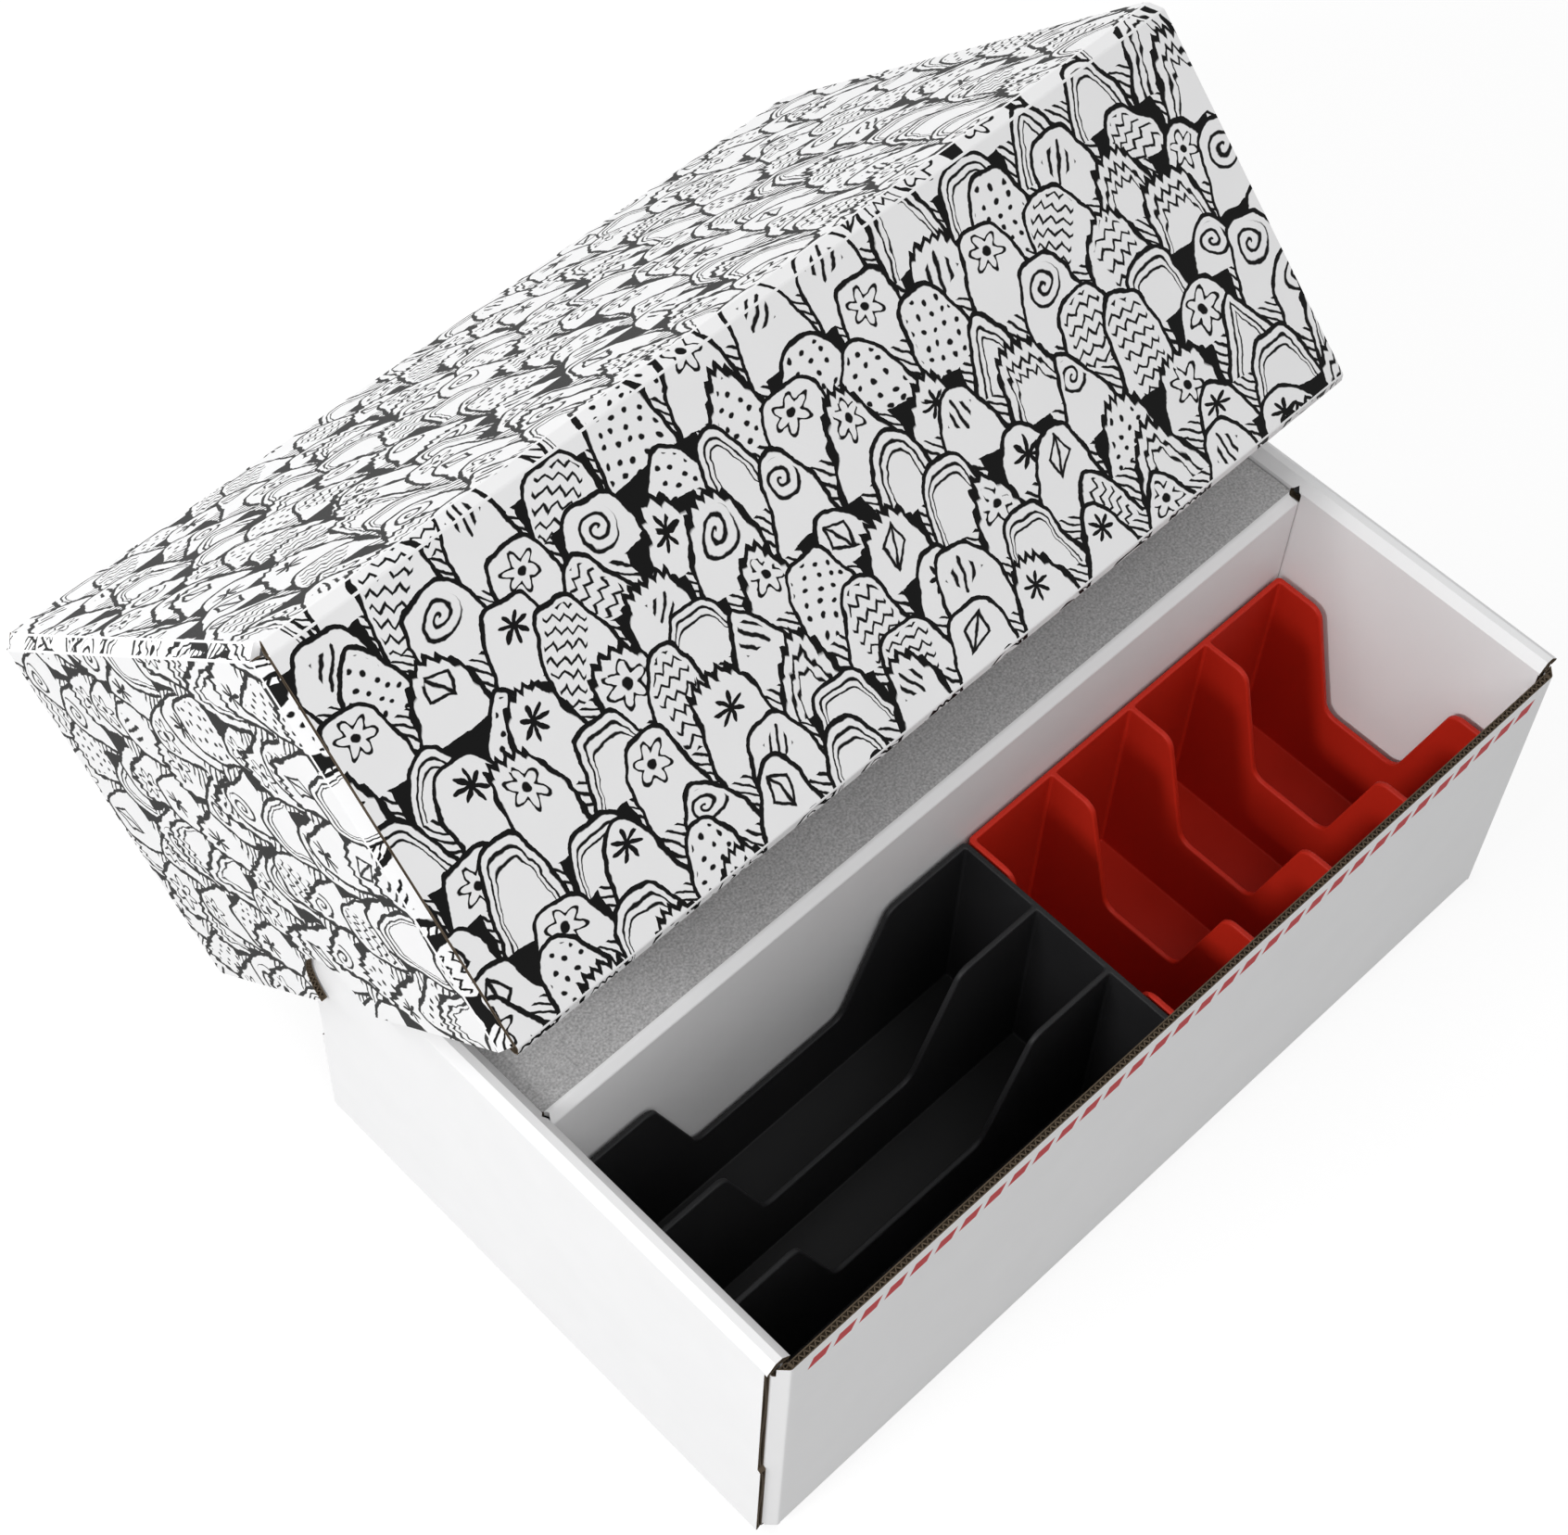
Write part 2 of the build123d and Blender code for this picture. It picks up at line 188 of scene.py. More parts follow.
class BoardSettings(bpy.types.PropertyGroup):
    """Corrugated board and its raw edges."""

    white: FloatVectorProperty(
        name="Coated face", description="Colour of the coated white faces",
        subtype="COLOR", default=(0.87, 0.87, 0.875), min=0.0, max=1.0)
    # The deck's colour is painted shade: a grey that stands for the lid's shadow on its board, and the
    # speckle puts random flecks in that grey.
    deck: FloatVectorProperty(
        name="Deck face", description="Colour of the greyer uncoated deck",
        subtype="COLOR", default=(0.465, 0.461, 0.463), min=0.0, max=1.0)
    speckle: FloatProperty(
        name="Speckle", description="Contrast of the flecks in the uncoated deck",
        default=1.2, min=0.0, max=2.0)
    kraft: FloatVectorProperty(
        name="Raw edge", description="Colour of the bare kraft paper in cut edges",
        subtype="COLOR", default=(0.092, 0.069, 0.046), min=0.0, max=1.0)
    thickness: FloatProperty(
        name="Thickness", description="Board thickness", unit="LENGTH",
        default=0.002, min=0.0005, max=0.01, precision=4)
    liner: FloatProperty(
        name="Liner", description="Thickness of the liner papers at a cut edge", unit="LENGTH",
        default=0.00032, min=0.0001, max=0.001, precision=5)
    trench: FloatProperty(
        name="Edge depth", description="Depth of the open flutes in a cut edge", unit="LENGTH",
        default=0.0011, min=0.0002, max=0.003, precision=5)
    crease_radius: FloatProperty(
        name="Crease", description="Rounding of the folded edges", unit="LENGTH",
        default=0.0004, min=0.0, max=0.001, precision=5)
    fold: FloatProperty(
        name="Fold", description="Leg of the bevel at a folded edge", unit="LENGTH",
        default=0.0032, min=0.001, max=0.01, precision=4)
    flute_pitch: FloatProperty(
        name="Flute pitch", description="Length of one wave of the fluting", unit="LENGTH",
        default=0.0018, min=0.001, max=0.01, precision=4)
    flute_paper: FloatProperty(
        name="Flute paper", description="Thickness of the fluting paper", unit="LENGTH",
        default=0.00028, min=0.0001, max=0.001, precision=5)


class PrintSettings(bpy.types.PropertyGroup):
    """Line work on the lid and the rule along the base."""

    ink: FloatVectorProperty(
        name="Ink", description="Colour of the line work", subtype="COLOR",
        default=(0.003, 0.003, 0.003), min=0.0, max=1.0)
    rule: FloatVectorProperty(
        name="Rule", description="Colour of the dashed rule on the front wall", subtype="COLOR",
        default=(0.46, 0.003, 0.008), min=0.0, max=1.0)
    motif_width: FloatProperty(
        name="Motif width", description="Width of one drawn hill, in centimetres",
        default=2.3, min=0.5, max=10.0)
    motif_rise: FloatProperty(
        name="Row pitch", description="Distance between the rows of hills, in centimetres",
        default=1.25, min=0.3, max=10.0)
    seed: FloatProperty(
        name="Seed", description="Number that fixes the drawing's random choices", default=4.0)
    line_width: FloatProperty(
        name="Line width", description="Width of the drawn lines, in centimetres",
        default=0.13, min=0.01, max=0.5)
    wobble: FloatProperty(
        name="Wobble", description="How far the lines wander, in centimetres",
        default=0.4, min=0.0, max=1.0)


class TraySettings(bpy.types.PropertyGroup):
    """Moulded plastic trays."""

    black: FloatVectorProperty(
        name="Black", description="Colour of the black tray", subtype="COLOR",
        default=(0.013, 0.013, 0.014), min=0.0, max=1.0)
    red: FloatVectorProperty(
        name="Red", description="Colour of the red tray", subtype="COLOR",
        default=(0.54, 0.02, 0.007), min=0.0, max=1.0)
    edge_radius: FloatProperty(
        name="Edge radius", description="Rounding of the moulded edges", unit="LENGTH",
        default=0.0005, min=0.0, max=0.002, precision=5)
    edge_steps: IntProperty(
        name="Edge steps", description="Facets in each rounded edge", default=3, min=1, max=6)


class StudioSettings(bpy.types.PropertyGroup):
    """Lights and camera."""

    sky: FloatProperty(
        name="Sky", description="Strength of the even light all round", default=0.51, min=0.0, max=2.0)
    key: FloatProperty(
        name="Key", description="Power of the lamp on the left", unit="POWER",
        default=16.4, min=0.0, max=500.0)
    front: FloatProperty(
        name="Front", description="Power of the lamp on the camera's side", unit="POWER",
        default=7.5, min=0.0, max=500.0)
    back: FloatProperty(
        name="Back", description="Power of the lamp behind the lid", unit="POWER",
        default=18.0, min=0.0, max=500.0)
    focal: FloatProperty(
        name="Focal length", description="Camera lens, in millimetres", subtype="DISTANCE_CAMERA",
        default=72.405, min=10.0, max=300.0)


def make_tree(name):
    """A new material and its emptied node tree."""
    material = bpy.data.materials.new(name)
    material.use_nodes = True
    material.node_tree.nodes.clear()
    return material, material.node_tree


def add(tree, kind, *values, out=0, **settings):
    """Add a node, set or link its inputs in order but for None, and return one of its outputs."""
    made = tree.nodes.new(kind)
    for key, value in settings.items():
        setattr(made, key, value)
    for socket, value in zip(made.inputs, values):
        if value is None:
            continue
        if isinstance(value, bpy.types.NodeSocket):
            tree.links.new(value, socket)
        else:
            socket.default_value = value
    return made.outputs[out]


def calc(tree, operation, *values):
    """A Math node."""
    return add(tree, "ShaderNodeMath", *values, operation=operation)


def object_place(tree):
    """Object coordinates, in metres."""
    return tree.nodes.new("ShaderNodeTexCoord").outputs["Object"]


def parts_of(tree, vector):
    """The three numbers of a vector."""
    made = tree.nodes.new("ShaderNodeSeparateXYZ")
    tree.links.new(vector, made.inputs[0])
    return made.outputs[0], made.outputs[1], made.outputs[2]


def below(tree, value, limit, soft):
    """One where a value is under a limit, with a soft edge, else zero."""
    made = tree.nodes.new("ShaderNodeMapRange")
    tree.links.new(value, made.inputs["Value"])
    made.inputs["From Min"].default_value = limit - soft
    made.inputs["From Max"].default_value = limit + soft
    made.inputs["To Min"].default_value = 1.0
    made.inputs["To Max"].default_value = 0.0
    return made.outputs["Result"]


def blend(tree, kind, share, first, second):
    """Mix two linked numbers or vectors, or two colours."""
    made = tree.nodes.new("ShaderNodeMix")
    made.data_type = kind
    tree.links.new(share, made.inputs[0])
    first_at, second_at, result_at = MIX_SOCKETS[kind]
    for index, value in ((first_at, first), (second_at, second)):
        if isinstance(value, bpy.types.NodeSocket):
            tree.links.new(value, made.inputs[index])
        else:
            made.inputs[index].default_value = (*value, 1.0)
    return made.outputs[result_at]


def noise(tree, place, scale, detail):
    """A noise value round 0.5."""
    made = tree.nodes.new("ShaderNodeTexNoise")
    tree.links.new(place, made.inputs["Vector"])
    made.inputs["Scale"].default_value = scale
    made.inputs["Detail"].default_value = detail
    return made.outputs["Fac"]


def finish_surface(tree, colour, roughness, height, bump, relief, specular):
    """Principled surface with its bump, wired to the output."""
    bumps = tree.nodes.new("ShaderNodeBump")
    bumps.inputs["Strength"].default_value = bump
    bumps.inputs["Distance"].default_value = relief
    tree.links.new(height, bumps.inputs["Height"])
    surface = tree.nodes.new("ShaderNodeBsdfPrincipled")
    tree.links.new(colour, surface.inputs["Base Color"])
    tree.links.new(roughness, surface.inputs["Roughness"])
    tree.links.new(bumps.outputs["Normal"], surface.inputs["Normal"])
    surface.inputs["Specular IOR Level"].default_value = specular
    output = tree.nodes.new("ShaderNodeOutputMaterial")
    tree.links.new(surface.outputs["BSDF"], output.inputs["Surface"])


def paper(tree, place, colour, speckle=0.0):
    """Paper colour, roughness and fibre height at a place on the board."""
    least_tone, tone_range = 0.975, 0.05
    least_roughness, roughness_range = 0.46, 0.12
    cloud = noise(tree, place, CLOUD_SCALE, detail=3.0)
    fibre = noise(tree, place, FIBRE_SCALE, detail=3.0)
    tone = calc(tree, "MULTIPLY_ADD", cloud, tone_range, least_tone - speckle / 2)
    if speckle:
        fleck = noise(tree, place, FLECK_SCALE, detail=1.0)
        tone = calc(tree, "MULTIPLY_ADD", fleck, speckle, tone)
    tinted = add(tree, "ShaderNodeVectorMath", colour, tone, operation="MULTIPLY")
    roughness = calc(tree, "MULTIPLY_ADD", fibre, roughness_range, least_roughness)
    return tinted, roughness, fibre


def plain_board(name, tint, speckle=0.0):
    """Unprinted face: faint clouding, fine fibre and the ghost of the flutes beneath."""
    ripple_share = 0.12
    pitch = bpy.context.scene.card_board.flute_pitch
    material, tree = make_tree(name)
    place = object_place(tree)
    colour, roughness, fibre = paper(tree, place, tuple(tint), speckle)
    x, y, _ = parts_of(tree, place)
    run = calc(tree, "ADD", x, y)
    ripple = calc(tree, "SINE", calc(tree, "MULTIPLY", run, 2 * math.pi / pitch))
    height = calc(tree, "MULTIPLY_ADD", ripple, ripple_share, fibre)
    finish_surface(tree, colour, roughness, height, PAPER_BUMP, PAPER_RELIEF, specular=0.35)
    return material


def kraft_edge():
    """Bare kraft paper: brown, streaked along the fibres."""
    kraft = bpy.context.scene.card_board.kraft
    fibre_stretch = (1.0, 1.0, 0.15)
    darkest, lightest = 0.55, 1.5
    least_roughness, roughness_range = 0.72, 0.2
    material, tree = make_tree("raw_kraft_edge")
    place = object_place(tree)
    stretched = add(tree, "ShaderNodeMapping", place, None, None, fibre_stretch)
    streak = noise(tree, stretched, STREAK_SCALE, detail=4.0)
    blotch = noise(tree, place, BLOTCH_SCALE, detail=2.0)
    share = calc(tree, "MULTIPLY_ADD", blotch, 0.5, calc(tree, "MULTIPLY", streak, 0.5))
    dark = tuple(c * darkest for c in kraft)
    light = tuple(c * lightest for c in kraft)
    colour = blend(tree, "RGBA", share, dark, light)
    roughness = calc(tree, "MULTIPLY_ADD", streak, roughness_range, least_roughness)
    finish_surface(tree, colour, roughness, streak, bump=0.3, relief=0.0001, specular=0.2)
    return material


def plain_materials():
    """The coated face, the deck's face, whose grey is painted shade of the lid, and the raw edge, made
    once for both cartons.
    """
    names = ("coated_white_board", "deck_board_painted_shade", "raw_kraft_edge")
    if names[0] not in bpy.data.materials:
        settings = bpy.context.scene.card_board
        plain_board(names[0], settings.white)
        plain_board(names[1], settings.deck, settings.speckle)
        kraft_edge()
    return [bpy.data.materials[name] for name in names]


def front_rule_board():
    """Coated white face of the front wall, with a dashed rule along its upper edge."""
    settings = bpy.context.scene.card_board
    prints = bpy.context.scene.card_print
    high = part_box("base_front_wall")[1]
    reach = high.x - RULE_MARGIN
    material, tree = make_tree("front_board_with_rule")
    place = object_place(tree)
    x, _, z = parts_of(tree, place)
    height = calc(tree, "SUBTRACT", z, high.z - RULE_DROP)
    slanted = calc(tree, "MULTIPLY_ADD", height, -RULE_LEAN, x)
    cell = calc(tree, "FRACT", calc(tree, "MULTIPLY", slanted, RULE_DASHES / (2 * reach)))
    from_middle = calc(tree, "ABSOLUTE", calc(tree, "SUBTRACT", cell, 0.5))
    dash = below(tree, from_middle, DASH_HALF, DASH_SOFT)
    bar = below(tree, calc(tree, "ABSOLUTE", height), RULE_HALF, RULE_SOFT)
    ends = below(tree, calc(tree, "ABSOLUTE", slanted), reach, RULE_SOFT)
    ink = calc(tree, "MULTIPLY", dash, calc(tree, "MULTIPLY", bar, ends))
    base = blend(tree, "RGBA", ink, tuple(settings.white), tuple(prints.rule))
    colour, roughness, fibre = paper(tree, place, base)
    finish_surface(tree, colour, roughness, fibre, PAPER_BUMP, PAPER_RELIEF, specular=0.15)
    return material


def hill(tree, place, row_back):
    """One row of overlapping hills: whether it covers the place, the inset from its outline, the place
    seen from the hill's heart, and the hill's own random numbers."""
    prints = bpy.context.scene.card_print
    wide, tall = prints.motif_width, prints.motif_rise
    least_rise, rise_range = 1.2 * tall, 0.95 * tall
    least_power, power_range = 1.5, 3.6
    spiky_from, spikes_across, spike_height = 0.72, 9.0, 0.42
    least_spread, heart_depth = 0.02, 0.82
    x, y, _ = parts_of(tree, place)
    row = calc(tree, "SUBTRACT", calc(tree, "FLOOR", calc(tree, "DIVIDE", y, tall)), row_back)
    shift = add(tree, "ShaderNodeTexWhiteNoise", None, row, noise_dimensions="1D")
    along = calc(tree, "ADD", calc(tree, "DIVIDE", x, wide), shift)
    column = calc(tree, "FLOOR", along)
    offset = calc(tree, "SUBTRACT", calc(tree, "SUBTRACT", along, column), 0.5)
    cell = add(tree, "ShaderNodeCombineXYZ", column, row, prints.seed)
    chance = add(tree, "ShaderNodeTexWhiteNoise", cell, noise_dimensions="3D", out=1)
    rise_luck, power_luck, spike_luck = parts_of(tree, chance)
    rise = calc(tree, "MULTIPLY_ADD", rise_luck, rise_range, least_rise)
    power = calc(tree, "MULTIPLY_ADD", power_luck, power_range, least_power)
    spread = calc(tree, "MULTIPLY", calc(tree, "ABSOLUTE", offset), 2.0)
    drop = calc(tree, "POWER", spread, power)
    spiky = calc(tree, "GREATER_THAN", spike_luck, spiky_from)
    comb = calc(tree, "PINGPONG", calc(tree, "MULTIPLY", offset, spikes_across), 0.5)
    spikes = calc(tree, "MULTIPLY", calc(tree, "MULTIPLY", comb, spiky), spike_height)
    top = calc(tree, "MULTIPLY_ADD", rise, calc(tree, "SUBTRACT", 1.0, drop), spikes)
    up = calc(tree, "SUBTRACT", y, calc(tree, "MULTIPLY", row, tall))
    fall = calc(tree, "DIVIDE", drop, calc(tree, "MAXIMUM", spread, least_spread))
    slope = calc(tree, "MULTIPLY", power, 2.0 / wide)
    steep = calc(tree, "MULTIPLY", calc(tree, "MULTIPLY", rise, fall), slope)
    steep = calc(tree, "ADD", steep, spiky)
    lean = calc(tree, "SQRT", calc(tree, "MULTIPLY_ADD", steep, steep, 1.0))
    inset = calc(tree, "DIVIDE", calc(tree, "SUBTRACT", top, up), lean)
    from_heart = calc(tree, "ADD", calc(tree, "SUBTRACT", up, rise), heart_depth)
    heart = add(tree, "ShaderNodeCombineXYZ", calc(tree, "MULTIPLY", offset, wide), from_heart, 0.0)
    return calc(tree, "GREATER_THAN", inset, 0.0), inset, heart, chance


def both(tree, first, second):
    """Where two marks overlap."""
    return calc(tree, "MULTIPLY", first, second)


def any_of(tree, first, second):
    """Where at least one of two marks is."""
    return calc(tree, "MAXIMUM", first, second)


def stripes(tree, value, pitch, thick):
    """Lines that come back with each pitch of a value."""
    return below(tree, calc(tree, "PINGPONG", value, pitch / 2), thick / 2, INK_SOFT)


def line_at(tree, value, at, thick):
    """A line where a value passes a number."""
    away = calc(tree, "ABSOLUTE", calc(tree, "SUBTRACT", value, at))
    return below(tree, away, thick / 2, INK_SOFT)


def hill_motifs(tree, heart, inset, spin_luck):
    """The drawings that fill the hills, as masks: flower, coil, kite, echoes, blades, star, dots and
    zigzag, the commoner ones twice. Sizes are in centimetres."""
    width = bpy.context.scene.card_print.line_width
    bold, medium, light, fine = (width * share for share in (0.8, 0.75, 0.7, 0.6))
    spin_range = 1.6
    spun = tree.nodes.new("ShaderNodeVectorRotate")
    spun.rotation_type = "Z_AXIS"
    tree.links.new(heart, spun.inputs["Vector"])
    spin = calc(tree, "MULTIPLY_ADD", spin_luck, spin_range, -spin_range / 2)
    tree.links.new(spin, spun.inputs["Angle"])
    x, y, _ = parts_of(tree, spun.outputs[0])
    reach = add(tree, "ShaderNodeVectorMath", heart, operation="LENGTH", out=1)
    bearing = calc(tree, "ARCTAN2", y, x)
    side, rise = calc(tree, "ABSOLUTE", x), calc(tree, "ABSOLUTE", y)

    def past_lobes(count, size, swing):
        wave = calc(tree, "COSINE", calc(tree, "MULTIPLY", bearing, float(count)))
        return calc(tree, "SUBTRACT", reach, calc(tree, "MULTIPLY_ADD", wave, swing, size))

    eye_reach = 0.13
    petals = line_at(tree, past_lobes(6, size=0.42, swing=0.13), 0.0, bold)
    flower = any_of(tree, petals, below(tree, reach, eye_reach, INK_SOFT))

    star = below(tree, past_lobes(7, size=0.27, swing=0.16), 0.0, INK_SOFT)

    coil_pitch, coil_reach = 0.28, 0.56
    wound = calc(tree, "SUBTRACT", reach, calc(tree, "MULTIPLY", bearing, coil_pitch / (2 * math.pi)))
    turns = stripes(tree, wound, coil_pitch, medium)
    coil = both(tree, turns, below(tree, reach, coil_reach, INK_SOFT))

    kite_half, kite_squash = 0.36, 0.7
    kite_reach = calc(tree, "MULTIPLY_ADD", rise, kite_squash, side)
    spine = below(tree, side, light / 2, INK_SOFT)
    kite_lines = any_of(tree, spine, line_at(tree, kite_reach, kite_half, bold))
    kite = both(tree, kite_lines, below(tree, kite_reach, kite_half + width / 2, INK_SOFT))

    blade_pitch, blade_reach = 0.26, 0.52
    patch = below(tree, calc(tree, "ADD", rise, side), blade_reach, INK_SOFT)
    blades = both(tree, stripes(tree, x, blade_pitch, medium), patch)

    outer_echo, inner_echo = 0.36, 0.6
    outer = line_at(tree, inset, outer_echo, medium)
    echoes = any_of(tree, outer, line_at(tree, inset, inner_echo, fine))

    dots_per_centimetre, dot_scatter, dot_reach, dot_soft = 2.7, 0.3, 0.2, 0.03
    pips = tree.nodes.new("ShaderNodeTexVoronoi")
    pips.voronoi_dimensions = "2D"
    pips.inputs["Scale"].default_value = dots_per_centimetre
    pips.inputs["Randomness"].default_value = dot_scatter
    tree.links.new(spun.outputs[0], pips.inputs["Vector"])
    dots = below(tree, pips.outputs["Distance"], dot_reach, dot_soft)

    tooth, tooth_pitch, zigzag_reach = 0.18, 0.34, 0.62
    folded = calc(tree, "ADD", y, calc(tree, "PINGPONG", x, tooth))
    teeth = stripes(tree, folded, tooth_pitch, light)
    zigzag = both(tree, teeth, below(tree, side, zigzag_reach, INK_SOFT))
    return flower, coil, kite, echoes, blades, star, dots, zigzag, echoes, flower


def doodle_board():
    """Coated face of the lid with rows of drawn hills, and hatched or solid gaps between them."""
    settings = bpy.context.scene.card_board
    prints = bpy.context.scene.card_print
    width = prints.line_width
    wide_waves, fine_waves, fine_share = 0.45, 3.2, 0.16
    clear_rim, solid_share = 1.9, 0.3
    hatch_pitch, hatch_width = 0.3, width * 0.8
    first_shuffle, second_shuffle = 7.31, 5.17
    material, tree = make_tree("lid_line_print")
    uv = tree.nodes.new("ShaderNodeUVMap")
    uv.uv_map = "print"
    place = uv.outputs[0]
    for scale, size in ((wide_waves, prints.wobble), (fine_waves, prints.wobble * fine_share)):
        wander = tree.nodes.new("ShaderNodeTexNoise")
        tree.links.new(uv.outputs[0], wander.inputs["Vector"])
        wander.inputs["Scale"].default_value = scale
        drift = wander.outputs["Color"]
        centred = add(tree, "ShaderNodeVectorMath", drift, (0.5, 0.5, 0.5), operation="SUBTRACT")
        scaled = add(tree, "ShaderNodeVectorMath", centred, (size * 2,) * 3, operation="MULTIPLY")
        place = add(tree, "ShaderNodeVectorMath", place, scaled, operation="ADD")

    filled, inset, heart, chance = hill(tree, place, 0.0)
    for row_back in (1.0, 2.0):
        covers, near_inset, near_heart, near_chance = hill(tree, place, row_back)
        filled = any_of(tree, filled, covers)
        inset = blend(tree, "FLOAT", covers, inset, near_inset)
        heart = blend(tree, "VECTOR", covers, heart, near_heart)
        chance = blend(tree, "VECTOR", covers, chance, near_chance)

    outline = below(tree, inset, width, INK_SOFT)
    inside = calc(tree, "SUBTRACT", 1.0, below(tree, inset, width * clear_rim, INK_SOFT))
    solid_luck, spin_luck, spike_luck = parts_of(tree, chance)
    shuffled = calc(tree, "MULTIPLY", spike_luck, second_shuffle)
    shuffled = calc(tree, "MULTIPLY_ADD", solid_luck, first_shuffle, shuffled)
    choice = calc(tree, "FRACT", shuffled)
    motifs = hill_motifs(tree, heart, inset, spin_luck)

    across, along, _ = parts_of(tree, place)
    hatch = stripes(tree, calc(tree, "ADD", across, along), hatch_pitch, hatch_width)
    solid = calc(tree, "LESS_THAN", solid_luck, solid_share)
    gaps = both(tree, calc(tree, "SUBTRACT", 1.0, filled), any_of(tree, hatch, solid))
    drawn = any_of(tree, both(tree, outline, filled), gaps)
    for index, motif in enumerate(motifs):
        past = calc(tree, "GREATER_THAN", choice, index / len(motifs))
        chosen = both(tree, past, calc(tree, "LESS_THAN", choice, (index + 1) / len(motifs)))
        drawn = any_of(tree, drawn, both(tree, both(tree, motif, inside), chosen))
    base = blend(tree, "RGBA", drawn, tuple(settings.white), tuple(prints.ink))
    colour, roughness, fibre = paper(tree, object_place(tree), base)
    finish_surface(tree, colour, roughness, fibre, PAPER_BUMP, PAPER_RELIEF, specular=0.1)
    return material


def moulded_plastic(name, tint, lift):
    """Matte moulded plastic: fine spark-eroded grain, faint flow marks and slightly worn gloss."""
    flow_stretch = (1.0, 1.0, 0.25)
    darkest, lightest = 0.88, 1.1
    least_roughness, roughness_range = 0.46, 0.14
    material, tree = make_tree(name)
    place = object_place(tree)
    grain = noise(tree, place, GRAIN_SCALE, detail=2.0)
    stretched = add(tree, "ShaderNodeMapping", place, None, None, flow_stretch)
    flow = noise(tree, stretched, FLOW_SCALE, detail=3.0)
    deep = tuple(c * darkest for c in tint)
    pale = tuple(min(1.0, c * lightest + lift) for c in tint)
    colour = blend(tree, "RGBA", flow, deep, pale)
    roughness = calc(tree, "MULTIPLY_ADD", flow, roughness_range, least_roughness)
    finish_surface(tree, colour, roughness, grain, bump=0.12, relief=0.0001, specular=0.25)
    return material


def finished(name, mesh, body, replaced, materials):
    """Link a finished piece at the origin, attach it to its body and hide the CAD part it replaces."""
    piece = bpy.data.objects.new(name, mesh)
    bpy.context.scene.collection.objects.link(piece)
    for material in materials:
        mesh.materials.append(material)
    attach(piece, body)
    if replaced:
        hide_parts(replaced)


def merged_copy(name):
    """A CAD node's mesh as welded flat faces."""
    bm = bmesh.new()
    bm.from_mesh(frame["nodes"][name].data)
    bmesh.ops.remove_doubles(bm, verts=bm.verts, dist=WELD)
    bmesh.ops.dissolve_limit(bm, angle_limit=FLAT_ANGLE, verts=bm.verts, edges=bm.edges,
                             use_dissolve_boundaries=False, delimit=set())
    bm.normal_update()
    bm.faces.ensure_lookup_table()
    return bm


def face_probes(bm):
    """A point well inside each face."""
    best = {}
    for loops in bm.calc_loop_triangles():
        face = loops[0].face
        a, b, c = (loop.vert.co for loop in loops)
        area = (b - a).cross(c - a).length
        if area > best.get(face, (0.0, None))[0]:
            best[face] = (area, (a + b + c) / 3)
    return {face: point for face, (area, point) in best.items()}


def node_tree_of(name):
    """Search tree over a CAD node's faces."""
    mesh = frame["nodes"][name].data
    return BVHTree.FromPolygons([v.co for v in mesh.vertices], [p.vertices for p in mesh.polygons])


def sort_faces(bm, neighbours, printed):
    """Mark each face as coated, printed or raw: a raw face is a cut edge that no other panel touches."""
    thickness = bpy.context.scene.card_board.thickness
    own = BVHTree.FromBMesh(bm)
    for face, point in face_probes(bm).items():
        normal = face.normal
        hit = own.ray_cast(point - normal * SKIN, -normal)
        if hit[0] is not None and hit[3] < SHEET_LIMIT * thickness:
            face.material_index = PRINTED if printed(point, normal) else WHITE
            continue
        start = point - normal * PROBE_DEPTH
        touched = any(tree.ray_cast(start, normal, PROBE_REACH)[0] is not None for tree in neighbours)
        face.material_index = WHITE if touched else KRAFT


def soften_creases(bm):
    """Round the folded edges a little."""
    radius = bpy.context.scene.card_board.crease_radius
    folds = []
    for edge in bm.edges:
        if len(edge.link_faces) != 2:
            continue
        if KRAFT in (edge.link_faces[0].material_index, edge.link_faces[1].material_index):
            continue
        if LEAST_FOLD < edge.calc_face_angle(0.0) < MOST_FOLD and edge.is_convex:
            folds.append(edge)
    if folds:
        bmesh.ops.bevel(bm, geom=folds, offset=radius, segments=2, profile=0.5,
                        affect="EDGES", clamp_overlap=True)
    bm.normal_update()


def raw_groups(bm):
    """Cut edges, as groups of faces that run into each other smoothly."""
    left = [face for face in bm.faces if face.material_index == KRAFT]
    groups = []
    while left:
        group, open_faces = [], [left.pop()]
        while open_faces:
            face = open_faces.pop()
            group.append(face)
            for edge in face.edges:
                for other in edge.link_faces:
                    if other in left and face.normal.angle(other.normal, 0.0) < SAME_EDGE:
                        left.remove(other)
                        open_faces.append(other)
        groups.append(group)
    return groups


def open_edges(bm):
    """Sink the middle of each cut edge between its two liner papers."""
    settings = bpy.context.scene.card_board
    for group in raw_groups(bm):
        if sum(face.calc_area() for face in group) < LEAST_EDGE_AREA:
            continue
        bmesh.ops.inset_region(bm, faces=group, thickness=settings.liner, depth=0.0,
                               use_even_offset=True, use_boundary=True)
        bmesh.ops.inset_region(bm, faces=group, thickness=EDGE_SLOPE, depth=-settings.trench,
                               use_even_offset=True, use_boundary=True)


